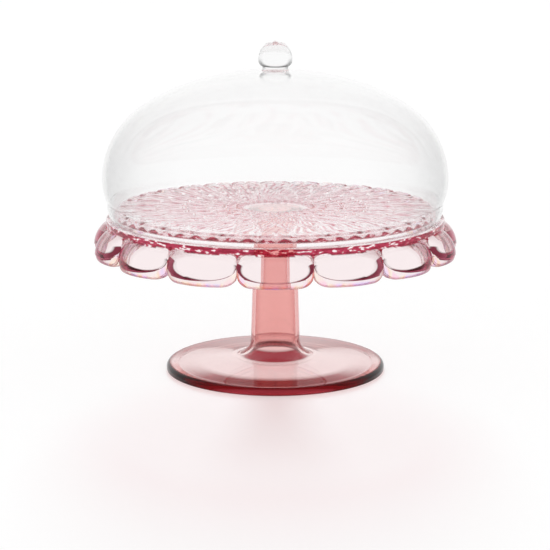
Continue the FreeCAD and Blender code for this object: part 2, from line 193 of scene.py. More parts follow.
def pedestal_outline():
    edge = FOOT_RADIUS - EDGE_ROUND
    top = STEM_TOP - GAP
    shape = [(REST_IN, 0.0)]
    shape += line(shape[-1], (FOOT_RADIUS - BASE_ROUND, 0.0), 2)
    shape += bow(shape[-1], (FOOT_RADIUS, BASE_ROUND), BASE_ROUND, 1, 4)
    shape += line(shape[-1], (FOOT_RADIUS, FOOT_EDGE - EDGE_ROUND), 2)
    shape += bow(shape[-1], (edge, FOOT_EDGE), EDGE_ROUND, 1, 12)
    shape += line(shape[-1], (STEM_LOW + FLARE, FOOT_TOP), 12)
    shape += bow(shape[-1], (STEM_LOW, FOOT_TOP + FLARE), FLARE, -1, 24)
    shape += line(shape[-1], (STEM_HIGH, STEM_TOP - COLLAR_DEPTH), 16)
    shape += bow(shape[-1], (COLLAR, top), COLLAR_BOW, -1, 10)
    shape += line(shape[-1], (STEM_HIGH - STEM_WALL, top), 3)
    shape += line(shape[-1], (STEM_LOW - STEM_WALL, FOOT_TOP + FLARE), 16)
    shape += bow(shape[-1], (STEM_LOW + FLARE, FOOT_TOP - FOOT_WALL), FLARE + STEM_WALL, 1, 24)
    shape += line(shape[-1], (REST_IN, FOOT_UNDER), 12)
    return shape


# Where the pedestal's masks change, as (from, to). Insets are distances from the foot's edge.
# Painted shade on the foot's edge: deep red in front and nearly black where it turns away.
RED_INSET = (EDGE_ROUND, 2.2)
RED_END = (6.8, FOOT_EDGE)
# Painted reflection of the red edge: a band inside it, on the underside and the top.
UNDERSIDE_INSET = (33.0, 26.0)
UNDERSIDE_LEVEL = 4.5
TOP_INSET = (27.0, 20.0)
TOP_LEVEL = 12.0
STEM_PINK_RADIUS = (40.0, 60.0)
# Painted shade: a dark red crescent in the flare of the bore.
BORE_RADIUS = 36.0
BORE_INSET = 1.8
BORE_RED_SHADE = 0.5
BORE_START = (8.2, 10.0)
BORE_END = (18.0, 23.0)


def foot_inset(bounds, radius):
    """A smooth step between two distances from the foot's edge."""
    return smooth(FOOT_RADIUS - bounds[0], FOOT_RADIUS - bounds[1], radius)


def pedestal_zones(radius, angle, height):
    """Masks: (painted shade on the foot's edge, and half of it as a painted dark red crescent in
    the flare of the bore; a painted reflection of that red edge as a band inside it, on the foot's
    underside and its top; stem pink, the stem's own tint)."""
    edge = foot_inset(RED_INSET, radius)
    red = edge * (1 - smooth(*RED_END, height))
    if height < UNDERSIDE_LEVEL:
        band = foot_inset(UNDERSIDE_INSET, radius)
    else:
        band = foot_inset(TOP_INSET, radius) * (height < TOP_LEVEL)
    band *= 1 - edge
    stem = smooth(FOOT_TOP, FOOT_TOP + FLARE, height) * (1 - smooth(*STEM_PINK_RADIUS, radius))
    below = FOOT_TOP + FLARE - height
    outer_flare = STEM_LOW + FLARE - math.sqrt(max(FLARE ** 2 - below ** 2, 0.0))
    inside = height < FOOT_TOP - 0.1 or radius < outer_flare - BORE_INSET
    # Painted dark red shade in the flare of the bore, half as strong as the edge's.
    if radius < BORE_RADIUS and inside:
        red = max(red, BORE_RED_SHADE * smooth(*BORE_START, height) * (1 - smooth(*BORE_END, height)))
    return red, band, stem


pedestal = turned("pedestal_clear", pedestal_outline(), 192, 35.0)
paint(pedestal, pedestal_zones)


# Dome: a thin shell with a tapered rim, and the seat for its knob. Above its belly it is built of
# three arcs that run into each other: shoulder, haunch and crown.
DOME_WALL = 3.2
RIM_OUT = 153.7
RIM_ROUND = 0.4
RIM_CHAMFER = 0.3
RIM_TOP = LEDGE + 10.0
NECK = 156.0
NECK_TOP = LEDGE + 16.0
TUCK = 47.0
SHOULDER = 80.3
HAUNCH = 172.0
BELLY_LEVEL = NECK_TOP + math.sqrt(TUCK ** 2 - (TUCK - (BELLY - NECK)) ** 2)
HAUNCH_START = math.radians(35.0)
CROWN_START = math.radians(17.0)
SHOULDER_END = (BELLY - SHOULDER + SHOULDER * math.sin(HAUNCH_START),
                BELLY_LEVEL + SHOULDER * math.cos(HAUNCH_START))
HAUNCH_CENTRE = (SHOULDER_END[0] - HAUNCH * math.sin(HAUNCH_START),
                 SHOULDER_END[1] - HAUNCH * math.cos(HAUNCH_START))
HAUNCH_END = (HAUNCH_CENTRE[0] + HAUNCH * math.sin(CROWN_START),
              HAUNCH_CENTRE[1] + HAUNCH * math.cos(CROWN_START))
CROWN = HAUNCH_END[0] / math.sin(CROWN_START)
CROWN_LEVEL = HAUNCH_END[1] - CROWN * math.cos(CROWN_START)
HOLE = 8.45
SEAT = 12.6


def crown_height(radius, sphere):
    return CROWN_LEVEL + math.sqrt(sphere ** 2 - radius ** 2)


def inset(point, slope):
    """The point on the dome's inner face behind a point on its outer face."""
    return (point[0] - DOME_WALL * math.sin(slope), point[1] - DOME_WALL * math.cos(slope))


def dome_outline():
    inner = CROWN - DOME_WALL
    foot = LEDGE + GAP
    shape = [(RIM_OUT - DOME_WALL + RIM_CHAMFER, foot), (RIM_OUT - RIM_ROUND, foot),
             (RIM_OUT, foot + RIM_ROUND)]
    shape += line(shape[-1], (NECK, RIM_TOP), 5)
    shape += line(shape[-1], (NECK, NECK_TOP), 4)
    shape += bow(shape[-1], (BELLY, BELLY_LEVEL), TUCK, 1, 20)
    shape += bow(shape[-1], SHOULDER_END, SHOULDER, 1, 40)
    shape += bow(shape[-1], HAUNCH_END, HAUNCH, 1, 30)
    shape += bow(shape[-1], (SEAT, crown_height(SEAT, CROWN)), CROWN, 1, 30)
    shape += [(SEAT, SEAT_LEVEL), (HOLE, SEAT_LEVEL), (HOLE, crown_height(HOLE, inner))]
    shape += bow(shape[-1], inset(HAUNCH_END, CROWN_START), inner, -1, 30)
    shape += bow(shape[-1], inset(SHOULDER_END, HAUNCH_START), HAUNCH - DOME_WALL, -1, 30)
    shape += bow(shape[-1], (BELLY - DOME_WALL, BELLY_LEVEL), SHOULDER - DOME_WALL, -1, 40)
    shape += bow(shape[-1], (NECK - DOME_WALL, NECK_TOP), TUCK, -1, 20)
    shape += line(shape[-1], (NECK - DOME_WALL, RIM_TOP), 4)
    shape += line(shape[-1], (RIM_OUT - DOME_WALL, foot + RIM_CHAMFER), 5)
    return shape


dome_shell = turned("dome_shell_clear", dome_outline(), 256, 35.0)


# Knob: turned, with a ring of leaves around the bead on its top.
SPIGOT = 8.3
SPIGOT_CHAMFER = 0.3
KNOB_NECK = 11.9
KNOB_NECK_TOP = SEAT_LEVEL + 2.6
KNOB_WIDEST = SEAT_LEVEL + 8.0
KNOB_LOWER_BOW = 6.0
KNOB_UPPER_BOW = 18.0
KNOB_TOP_RADIUS = 9.6
KNOB_STEPS = 160
BEAD = 3.2
BEAD_HEIGHT = 3.4
BEAD_BOW = (BEAD ** 2 + BEAD_HEIGHT ** 2) / (2 * BEAD_HEIGHT)
KNOB_FLAT = KNOB_TOP - BEAD_HEIGHT
LEAVES = 8
LEAF_HEIGHT = 1.4
LEAF_WIDTH = 1.7
LEAF_SLOPE = 6.0


def leaf_height(radius, angle):
    """How far the ring of leaves stands up at a radius and an angle."""
    along = (radius - BEAD) / (KNOB_TOP_RADIUS - BEAD)
    if along <= 0.0 or along >= 1.0:
        return 0.0
    off = (angle / TAU * LEAVES + 0.5) % 1.0 - 0.5
    across = off * TAU / LEAVES * radius / (LEAF_WIDTH * math.sin(math.pi * along))
    if abs(across) >= 1.0:
        return 0.0
    ends = min(1.0, LEAF_SLOPE * along * (1.0 - along))
    return LEAF_HEIGHT * math.sqrt(1.0 - across ** 2) * ends


def knob_rings():
    seat = SEAT_LEVEL + GAP
    outline = [(0.0, SPIGOT_END)]
    outline += line(outline[-1], (SPIGOT - SPIGOT_CHAMFER, SPIGOT_END), 3)
    outline += [(SPIGOT, SPIGOT_END + SPIGOT_CHAMFER), (SPIGOT, seat)]
    outline += line(outline[-1], (KNOB_NECK, seat), 2)
    outline += line(outline[-1], (KNOB_NECK, KNOB_NECK_TOP), 2)
    outline += bow(outline[-1], (KNOB_RADIUS, KNOB_WIDEST), KNOB_LOWER_BOW, 1, 12)
    outline += bow(outline[-1], (KNOB_TOP_RADIUS, KNOB_FLAT), KNOB_UPPER_BOW, 1, 20)
    outline += line(outline[-1], (BEAD, KNOB_FLAT), 16)
    outline += bow(outline[-1], (0.0, KNOB_TOP), BEAD_BOW, 1, 10)
    rings = []
    for radius, height in outline:
        if radius < 1e-4:
            rings.append([(0.0, 0.0, height)])
            continue
        ring = []
        for step in range(KNOB_STEPS):
            angle = TAU * step / KNOB_STEPS
            up = leaf_height(radius, angle) if abs(height - KNOB_FLAT) < TINY else 0.0
            ring.append((radius * math.sin(angle), -radius * math.cos(angle), height + up))
        rings.append(ring)
    return rings


dome_knob = ring_mesh("dome_knob_clear", knob_rings(), 35.0)


# Plate: petal bed, rim, ledge and the skirt of cabochons, in one moulding.
PLATE_STEPS = 720
CABOCHONS = 15
PITCH = TAU / CABOCHONS

# Bed and ledge.
DISC = 30.0
DISC_RINGS = [10.0, 20.0, 27.0, 29.4]
TIPS = 146.4
OUTER_RINGS = [TIPS + 0.4, TIPS + 1.6]
BED = 149.7
BED_ROUND = 1.5
BED_UNDER = STEM_TOP
BED_FLOOR = BED_UNDER + 5.0
LEDGE_RADIUS = 157.0
LEDGE_ROUND = 0.5
LEDGE_UNDER = LEDGE - 5.0
RIM_IN = 145.0
BOSS = 15.65
BOSS_END = STEM_TOP - 5.0

# Petals. The mesh of the bed is finer from the tip zone outwards.
PETALS = 30
PETAL_RINGS = 6
OUTER_RING = PETAL_RINGS - 1
RING_RATIO = (TIPS / DISC) ** (1 / PETAL_RINGS)
PETAL_HEIGHT = PETAL_TOP - BED_FLOOR
PETAL_BULGE = 2.6
PETAL_LOW = 0.30
PETAL_RISE = 1.3
PETAL_STEPS = 96
TIP_ZONE = 142.0
TIP_PITCH = 0.4
TIP_STEPS = 11
TIP_NOTCH = 2.6
TIP_SLOPE = 1.3
TIP_FURROW = 0.75
TIP_FURROW_ALONG = (0.50, 0.95)
DISC_SLOPE = 1.5
RIBS = 3.0
RIB_DEPTH = 0.10
RIB_SWAY = 0.9
RIB_SLANT = 0.25

# Cabochons: the face is an arc in plan and bows out from its upper edge to the widest level.
REACH = 171.0
UPPER_EDGE = 156.2
FACE_PLAN = 55.3
FACE_CENTRE = REACH - FACE_PLAN
FACE_HEIGHT = 23.5
FACE_SWELL = REACH - UPPER_EDGE
FACE_BOW = (FACE_SWELL ** 2 + FACE_HEIGHT ** 2) / (2 * FACE_SWELL)
WIDEST = LEDGE_UNDER - FACE_HEIGHT
FACE_LEVEL = 129.5
FACE_UP = 10.2
FACE_DOWN = 11.5
FACE_UP_POWER = 3.4
FACE_DOWN_POWER = 2.4
FACE_ANGLE = math.radians(12.0)
FACE_STEPS = 22
JOINT_RISE = 9.5
JOINT_TURN = 13.0
JOINT_RUN = 34.0
HOLLOW_PLAN = 36.5
DEEPEST = REACH - 6.0
HOLLOW_CENTRE = DEEPEST - HOLLOW_PLAN
HOLLOW_TOP = LEDGE_UNDER - 2.0
HOLLOW_RUN = DEEPEST - (RIM_IN - 3.0)
HOLLOW_RISE = HOLLOW_TOP - WIDEST
HOLLOW_BOW = (HOLLOW_RISE ** 2 + HOLLOW_RUN ** 2) / (2 * HOLLOW_RUN)
HOLLOW_STEPS = 20
HOLLOW_SPACING = 1.6
SIDE_WALL = 7.4
SIDE_BLEND = 1.4
# Steps in from the face, and up or down from it: its lip under the ledge, its lower lip, the pull
# of the rounding below that, and where the rounding ends.
UPPER_LIP = (0.6, 0.25)
LOWER_LIP = (0.7, 0.5)
LOWER_PULL = (0.7, 0.2)
LOWER_END = 5.0


def leaf_share(along):
    """Share of the pitch that a petal takes, at a place from its middle (0) to its tip (1)."""
    return 0.5 * (1 - along) + 0.5 * math.cos(math.pi * along / 2) ** 2


def petal_cell(radius, angle):
    """Place in the petal that covers a point of the relief: (ring, along -1..1, across -1..1)."""
    level = math.log(radius / DISC) / math.log(RING_RATIO)
    turn = angle / TAU * PETALS
    lower = min(max(int(math.floor(level)), 0), OUTER_RING)
    for ring in (lower, lower + 1):
        along = level - ring
        off = (turn - (0.0 if ring % 2 else 0.5) + 0.5) % 1.0 - 0.5
        if ring == OUTER_RING and along >= 0.0:
            return ring, along, off / 0.5
        half = 0.5 * leaf_share(min(abs(along), 1.0))
        if abs(off) <= half + 1e-9 and half > TINY:
            return ring, along, off / half
    return lower, level - lower, 1.0


def petal_rib(along, across):
    """-1 to 1: fine ribs that run along a petal and sway."""
    sway = RIB_SWAY * math.sin(math.pi * (along + RIB_SLANT * across))
    return math.cos(math.pi * (RIBS * across + sway))


def relief(radius, angle):
    """Height of the petals above the bed's floor. The outer ring's petals end in two lobes."""
    if radius <= DISC + 0.01 or radius >= TIPS:
        return 0.0
    ring, along, across = petal_cell(radius, angle)
    rib = petal_rib(along, across)
    across = min(abs(across), 1.0)
    bulge = math.sqrt(max(1.0 - across ** PETAL_BULGE, 0.0))
    rise = PETAL_LOW + (1 - PETAL_LOW) * ((along + 1) / 2) ** PETAL_RISE
    height = PETAL_HEIGHT * bulge * rise * (1 - RIB_DEPTH + RIB_DEPTH * rib)
    if ring == OUTER_RING:
        lobes = math.sqrt(max(1.0 - (2 * across - 1) ** 2, 0.0))
        tip = TIPS - TIP_NOTCH * (1.0 - lobes)
        height *= min(1.0, max(0.0, (tip - radius) / TIP_SLOPE)) ** 0.5
        height *= 1.0 - TIP_FURROW * smooth(*TIP_FURROW_ALONG, along) * (1.0 - lobes) ** 1.5
    return height * min(1.0, (radius - DISC) / DISC_SLOPE)


def across_arc(centre, radius, angle):
    """Distance from the axis to an upright cylinder whose own axis stands at a distance."""
    side = centre * math.sin(angle)
    return centre * math.cos(angle) + math.sqrt(max(radius ** 2 - side ** 2, 0.0))


def face_radius(angle, level):
    """Distance from the axis to a cabochon's face."""
    up = min(max(level - WIDEST, 0.0), LEDGE_UNDER - WIDEST)
    own = FACE_PLAN - FACE_BOW + math.sqrt(FACE_BOW ** 2 - up ** 2)
    return across_arc(FACE_CENTRE, own, angle)


def hollow_radius(angle, level):
    """Distance from the axis to the hollow behind a cabochon. Its middle arc runs smoothly into
    sides that follow the face."""
    up = min(max(level - WIDEST, 0.0), HOLLOW_RISE)
    own = HOLLOW_PLAN - HOLLOW_BOW + math.sqrt(HOLLOW_BOW ** 2 - up ** 2)
    middle = across_arc(HOLLOW_CENTRE, own, angle)
    side = across_arc(FACE_CENTRE, FACE_PLAN - (HOLLOW_PLAN - own) - SIDE_WALL, angle)
    share = min(max(0.5 + 0.5 * (side - middle) / SIDE_BLEND, 0.0), 1.0)
    joined = middle + (side - middle) * share + SIDE_BLEND * share * (1.0 - share)
    return max(RIM_IN, joined)


def bed_radii():
    """Radii of the mesh's rings across the bed."""
    radii = [*DISC_RINGS, DISC]
    radii += [DISC * (TIP_ZONE / DISC) ** (step / PETAL_STEPS)
              for step in range(1, PETAL_STEPS + 1)]
    radii += [TIP_ZONE + TIP_PITCH * step for step in range(1, TIP_STEPS + 1)]
    return radii + OUTER_RINGS


def skirt_profile(angle):
    """The plate's outline below the ledge, at an angle from the middle of a cabochon."""
    share = min(abs(angle) / FACE_ANGLE, 1.0)
    top = FACE_LEVEL + FACE_UP * max(1.0 - share ** FACE_UP_POWER, 0.0) ** (1 / FACE_UP_POWER)
    drop = max(1.0 - share ** FACE_DOWN_POWER, 0.0) ** (1 / FACE_DOWN_POWER)
    bottom = FACE_LEVEL - FACE_DOWN * drop
    turn = max(JOINT_TURN - JOINT_RUN * (1.0 - share), 0.0) / JOINT_TURN
    low = SKIRT_LOW + JOINT_RISE * (1.0 - math.sqrt(1.0 - turn ** 2))
    widest = face_radius(angle, WIDEST)
    lip = (face_radius(angle, top) - UPPER_LIP[0], top + UPPER_LIP[1])
    shape = line((LEDGE_RADIUS, LEDGE_UNDER), lip, 3)
    for step in range(FACE_STEPS + 1):
        level = top + (bottom - top) * step / FACE_STEPS
        shape.append((face_radius(angle, level), level))
    shape.append((face_radius(angle, bottom) - LOWER_LIP[0], bottom - LOWER_LIP[1]))
    shape += bezier(shape[-1], (widest - LOWER_PULL[0], low + LOWER_PULL[1]),
                    (widest - LOWER_END, low), 8)
    shape.append((hollow_radius(angle, low), low))
    for step in range(1, HOLLOW_STEPS + 1):
        rise = 1 - (1 - step / HOLLOW_STEPS) ** HOLLOW_SPACING
        level = low + (HOLLOW_TOP - low) * rise
        shape.append((hollow_radius(angle, level), level))
    return shape + [(RIM_IN, HOLLOW_TOP + 1.0), (RIM_IN, BED_UNDER)]


def from_cabochon(angle):
    """The angle from the middle of the nearest cabochon."""
    return (angle + PITCH / 2) % PITCH - PITCH / 2


def plate_rings():
    radii = bed_radii()
    columns = []
    for step in range(PLATE_STEPS):
        angle = TAU * step / PLATE_STEPS
        shape = [(radius, BED_FLOOR + relief(radius, angle)) for radius in radii]
        shape += line(shape[-1], (BED - BED_ROUND, BED_FLOOR), 1)
        shape += bow(shape[-1], (BED, BED_FLOOR - BED_ROUND), BED_ROUND, -1, 5)
        shape += line(shape[-1], (BED, LEDGE), 12)
        shape += line(shape[-1], (LEDGE_RADIUS - LEDGE_ROUND, LEDGE), 2)
        shape += line(shape[-1], (LEDGE_RADIUS, LEDGE - LEDGE_ROUND), 1)
        shape += line(shape[-1], (LEDGE_RADIUS, LEDGE_UNDER), 2)
        shape += skirt_profile(from_cabochon(angle))
        shape += line(shape[-1], (BOSS, BED_UNDER), 6)
        shape += line(shape[-1], (BOSS, BOSS_END), 1)
        columns.append((math.sin(angle), -math.cos(angle), shape))
    rings = [[(0.0, 0.0, BED_FLOOR)]]
    for index in range(len(columns[0][2])):
        rings.append([(side * shape[index][0], front * shape[index][0], shape[index][1])
                      for side, front, shape in columns])
    return rings + [[(0.0, 0.0, BOSS_END)]]


# Where the plate's masks change, as (from, to).
# Petal pink is the plate's own tint; where it fades at the petals' edges, the clear lines are
# painted highlights.
STROKE = (0.20, 0.80)
STROKE_EDGE = (0.70, 0.86)
BODY_PINK = 0.08
OUTER_FADE = 0.55
OUTER_FADE_ALONG = (0.40, 0.85)
# Painted crimson shade at the outer petals' tips and lobes.
TIP_CRIMSON_INSET = (-9.0, -5.0)
TIP_CRIMSON_ACROSS = (0.60, 0.92)
LOBE_CRIMSON = 0.6
LOBE_CRIMSON_INSET = (-1.4, -0.6)
LOBE_CRIMSON_SHARE = (0.75, 0.95)
# Painted crimson scallops of shade on the bed's outer wall.
HUMP_START = (LEDGE + 3.9, LEDGE + 4.5)
HUMP_LOW = LEDGE + 4.8
HUMP_HEIGHT = 2.9
HUMP_FADE = 0.5
# Painted crimson shade under the ledge, for light that has gone a long way through the rim.
CRIMSON_DEPTH = 1.6
SKIRT_IN = 150.0
JOINT_SHARE = 0.62
FACE_WALL_INSET = 6.5
# Painted rainbow along the lower edge: the colours that a prism edge splits from light.
RAINBOW_RISE = (2.6, 4.6)
# Painted crescents of shade along the faces' outlines.
OUTLINE_END = (1.10, 1.25)
CRESCENT_TOP = (FACE_LEVEL + 1.0, FACE_LEVEL + 6.0)
# Painted crimson shade in the joints between cabochons.
JOINT_CRIMSON_SHARE = (0.93, 1.0)
JOINT_CRIMSON_LEVEL = (FACE_LEVEL, FACE_LEVEL + 5.0)


def bed_zones(radius, angle):
    """The plate's masks on the bed: (painted crimson shade at the outer tips, petal pink that
    leaves painted pale highlights along the petals' edges).
    """
    ring, along, across = petal_cell(radius, angle)
    rib = petal_rib(along, across)
    across = min(abs(across), 1.0)
    body = BODY_PINK + BODY_PINK * math.cos(3.0 * along)
    pink = (body + smooth(*STROKE, -rib)) * (1.0 - smooth(*STROKE_EDGE, across))
    if ring != OUTER_RING:
        return 0.0, pink
    pink *= 1 - OUTER_FADE * smooth(*OUTER_FADE_ALONG, along)
    crimson = smooth(*TIP_CRIMSON_INSET, radius - TIPS) * smooth(*TIP_CRIMSON_ACROSS, across)
    lobes = abs(math.sin(PETALS * angle))
    tip = smooth(*LOBE_CRIMSON_INSET, radius - (TIPS - TIP_NOTCH + TIP_NOTCH * lobes))
    return max(crimson, LOBE_CRIMSON * tip * smooth(*LOBE_CRIMSON_SHARE, lobes)), pink


def skirt_zones(radius, angle, height):
    """The plate's masks on the skirt: (painted crimson shade at the joints, painted rainbow band
    at the lower edge, nearness to the face's outline, where painted crescents of shade go)."""
    own = from_cabochon(angle)
    share = abs(own) / (PITCH / 2)
    low = SKIRT_LOW + JOINT_RISE * smooth(JOINT_SHARE, 1.0, share)
    outer = smooth(-1.0, 0.0, radius - (across_arc(FACE_CENTRE, FACE_PLAN, own) - FACE_WALL_INSET))
    outer = max(outer, smooth(WIDEST, WIDEST + 1.0, height)
                * smooth(-1.5, -0.8, radius - face_radius(own, height)))
    rainbow = outer * (1 - smooth(low + RAINBOW_RISE[0], low + RAINBOW_RISE[1], height))
    rise = abs(height - FACE_LEVEL) / FACE_DOWN
    outline = (share ** FACE_DOWN_POWER + rise ** FACE_DOWN_POWER) ** (1 / FACE_DOWN_POWER)
    near = outer * (1 - rainbow) * min(outline, 1.0) * (1 - smooth(*OUTLINE_END, outline))
    near *= 1 - smooth(*CRESCENT_TOP, height)
    # Painted crimson shade in the joints.
    crimson = smooth(*JOINT_CRIMSON_SHARE, share) * smooth(*JOINT_CRIMSON_LEVEL, height)
    return crimson, rainbow, near


def plate_zones(radius, angle, height):
    """Masks: (painted crimson shade, with painted glints; painted rainbow band; petal pink on
    the bed and outline of a face on the skirt, where painted crescents of shade go).
    """
    if height > BED_FLOOR - 0.01 and radius > DISC:
        if radius >= TIPS - 0.01:
            return 0.0, 0.0, 0.0
        crimson, pink = bed_zones(radius, angle)
        return crimson, 0.0, pink
    # Painted crimson scallops of shade on the bed's outer wall.
    if radius > BED - 1.2 and LEDGE + 0.1 < height:
        top = HUMP_LOW + HUMP_HEIGHT * abs(math.sin(PETALS * angle))
        humps = smooth(*HUMP_START, height) * (1 - smooth(top, top + HUMP_FADE, height))
        return humps, 0.0, 0.0
    # Painted crimson shade under the ledge.
    if radius > SKIRT_IN and LEDGE_UNDER - CRIMSON_DEPTH < height < LEDGE - 0.2:
        return 1.0, 0.0, 0.0
    if radius > SKIRT_IN and height < LEDGE_UNDER:
        return skirt_zones(radius, angle, height)
    return 0.0, 0.0, 0.0


plate = ring_mesh("plate_clear", plate_rings(), 45.0)
paint(plate, plate_zones)


# Node helpers. A value given to a node is a socket, a number or a colour.
MIX_SHARE, MIX_FIRST, MIX_SECOND = 0, 6, 7
MIX_COLOUR = 2
RED_MASK, GREEN_MASK, BLUE_MASK = 0, 1, 2


def feed(tree, socket, value):
    """Links a socket to another node's output, or sets its number or colour."""
    if isinstance(value, bpy.types.NodeSocket):
        tree.links.new(value, socket)
    elif isinstance(value, tuple):
        socket.default_value = (*value, 1.0)
    else:
        socket.default_value = value


def add_node(tree, kind, **inputs):
    node = tree.nodes.new(kind)
    for name, value in inputs.items():
        feed(tree, node.inputs[name.replace("_", " ")], value)
    return node


def maths(tree, operation, *values):
    """A value socket: the operation on the values."""
    node = tree.nodes.new("ShaderNodeMath")
    node.operation = operation
    for socket, value in zip(node.inputs, values):
        feed(tree, socket, value)
    return node.outputs[0]


def mixed(tree, kind, share, first, second):
    """A colour socket: a colour mix of a kind."""
    mix = tree.nodes.new("ShaderNodeMix")
    mix.data_type = "RGBA"
    mix.blend_type = kind
    feed(tree, mix.inputs[MIX_SHARE], share)
    feed(tree, mix.inputs[MIX_FIRST], first)
    feed(tree, mix.inputs[MIX_SECOND], second)
    return mix.outputs[MIX_COLOUR]


def blended(tree, share, first, second):
    """A colour socket: first where share is 0, second where it is 1."""
    return mixed(tree, "MIX", share, first, second)


def multiplied(tree, first, second):
    """A colour socket: first times second."""
    return mixed(tree, "MULTIPLY", 1.0, first, second)


def mixed_shaders(tree, share, first, second):
    """A shader socket: first where share is 0, second where it is 1."""
    mix = tree.nodes.new("ShaderNodeMixShader")
    for socket, value in zip(mix.inputs, (share, first, second)):
        tree.links.new(value, socket)
    return mix.outputs[0]


def ramp(tree, value, *stops, interpolation="LINEAR"):
    """A colour socket from a value socket and stops of (place, colour or grey)."""
    node = tree.nodes.new("ShaderNodeValToRGB")
    node.color_ramp.interpolation = interpolation
    elements = node.color_ramp.elements
    elements.remove(elements[1])
    elements[0].position = stops[0][0]
    for index, (place, colour) in enumerate(stops):
        element = elements.new(place) if index else elements[0]
        element.color = (*(colour if isinstance(colour, tuple) else (colour,) * 3), 1.0)
    tree.links.new(value, node.inputs[0])
    return node.outputs[0]


def noise(tree, scale, detail, stretch=(1.0, 1.0, 1.0)):
    """A noise value over the piece's own coordinates."""
    coordinates = tree.nodes.new("ShaderNodeTexCoord")
    mapping = tree.nodes.new("ShaderNodeMapping")
    mapping.inputs["Scale"].default_value = stretch
    tree.links.new(coordinates.outputs["Object"], mapping.inputs[0])
    return add_node(tree, "ShaderNodeTexNoise", Vector=mapping.outputs[0], Scale=scale,
                    Detail=detail, Roughness=0.5).outputs[0]


def upward(tree, kind):
    """The third part of a texture coordinate. For "Object" it is the height in metres."""
    coordinates = tree.nodes.new("ShaderNodeTexCoord")
    return add_node(tree, "ShaderNodeSeparateXYZ", Vector=coordinates.outputs[kind]).outputs["Z"]


def zone_masks(tree):
    """The three masks that paint() keeps."""
    zone = tree.nodes.new("ShaderNodeAttribute")
    zone.attribute_name = "zone"
    return add_node(tree, "ShaderNodeSeparateColor", Color=zone.outputs["Color"]).outputs


def facing(tree):
    """0 where a face looks at the viewer, 1 where it is seen edge on."""
    return add_node(tree, "ShaderNodeLayerWeight", Blend=0.5).outputs["Facing"]


# Colours of the faces; many are painted shade, highlights and rainbow, as each says. Each function
# gives two sockets: the tint of the light that goes through a face, and the tint of its
# reflections. Heights in ramps are in metres.
WHITE = (1.0, 1.0, 1.0)
# Painted crimson shade for light that has gone far through the plate, with painted glints.
CRIMSON = (0.09, 0.001, 0.003)
CRIMSON_LIGHT = (0.30, 0.004, 0.015)
CRIMSON_GLINT = (1.0, 0.80, 0.84)
# PETAL_CLEAR is painted pale highlight, PETAL_PINK the plate's own pink, deepening to PETAL_DEEP,
# painted shade in the strokes.
PETAL_CLEAR = (0.99, 0.965, 0.968)
PETAL_PALE = (1.0, 0.92, 0.93)
PETAL_PINK = (0.95, 0.62, 0.67)
PETAL_DEEP = (0.46, 0.04, 0.08)
SKIRT_PALE = (0.945, 0.845, 0.85)
# Painted shade: dark crescents along the faces, and crimson where the skirt turns away.
CRESCENT_SHADE = (0.04, 0.001, 0.003)
SKIRT_SIDE_SHADE = (0.24, 0.008, 0.025)
SKIRT_TOP = 0.1395
SKIRT_TOP_END = 0.1405
SPREAD_GRAIN = 110.0
CRIMSON_GRAIN = 150.0
RAINBOW_GRAIN = 75.0
CRESCENT_SLANT = 0.80


def plate_colour(tree):
    """Pink strokes on the petals with painted pale highlights between them, painted crimson shade
    with painted glints at the edges, a painted rainbow band, painted dark crescents of shade that
    follow the outlines of the cabochons' faces, and painted shade where the skirt turns away.
    Reflections are painted crimson and dark in the same places."""
    masks = zone_masks(tree)
    # Petal pink with painted pale highlights and painted shade in the strokes.
    spread = ramp(tree, noise(tree, SPREAD_GRAIN, 3.0), (0.32, 0.30), (0.62, 1.4))
    petals = ramp(tree, maths(tree, "MULTIPLY", masks[BLUE_MASK], spread), (0.0, PETAL_CLEAR),
                  (0.25, PETAL_PALE), (0.50, PETAL_PINK), (0.85, PETAL_DEEP))
    # Painted crimson shade, with painted glints.
    crimson = ramp(tree, noise(tree, CRIMSON_GRAIN, 3.0, (1.0, 1.0, 2.5)),
                   (0.40, CRIMSON), (0.57, CRIMSON_LIGHT), (0.63, CRIMSON_GLINT))
    # Painted rainbow, the colours a prism edge splits from light.
    rainbow = ramp(tree, noise(tree, RAINBOW_GRAIN, 1.5, (1.0, 1.0, 0.4)),
                   (0.30, (1.0, 0.55, 0.75)), (0.40, (1.0, 0.90, 0.70)),
                   (0.48, (1.0, 0.62, 0.40)), (0.55, (0.95, 0.60, 0.95)),
                   (0.62, (0.62, 0.60, 1.0)), (0.70, (1.0, 0.70, 0.80)))
    skirt = ramp(tree, upward(tree, "Object"), (SKIRT_TOP, 1.0), (SKIRT_TOP_END, 0.0))
    # The painted crescent of shade shows where a face slants away and its outline is near.
    reach = maths(tree, "MULTIPLY_ADD", facing(tree), CRESCENT_SLANT, masks[BLUE_MASK])
    shade_crescent = ramp(tree, maths(tree, "MULTIPLY", reach, 0.5), (0.485, 0.0), (0.520, 1.0))
    # Painted crimson shade where the skirt turns away from the viewer.
    side = ramp(tree, facing(tree), (0.34, 0.0), (0.70, 0.9))
    shade_away = maths(tree, "MULTIPLY", skirt, side)

    tint = blended(tree, skirt, petals, blended(tree, shade_crescent, SKIRT_PALE, CRESCENT_SHADE))
    tint = blended(tree, masks[RED_MASK], tint, crimson)
    tint = blended(tree, masks[GREEN_MASK], tint, rainbow)
    tint = blended(tree, shade_away, tint, SKIRT_SIDE_SHADE)
    # Painted crimson and dark reflections on the shaded places.
    gloss = blended(tree, masks[RED_MASK], WHITE, (0.62, 0.05, 0.12))
    gloss = blended(tree, maths(tree, "MULTIPLY", skirt, shade_crescent), gloss, (0.22, 0.02, 0.04))
    return tint, blended(tree, shade_away, gloss, (0.55, 0.16, 0.22))


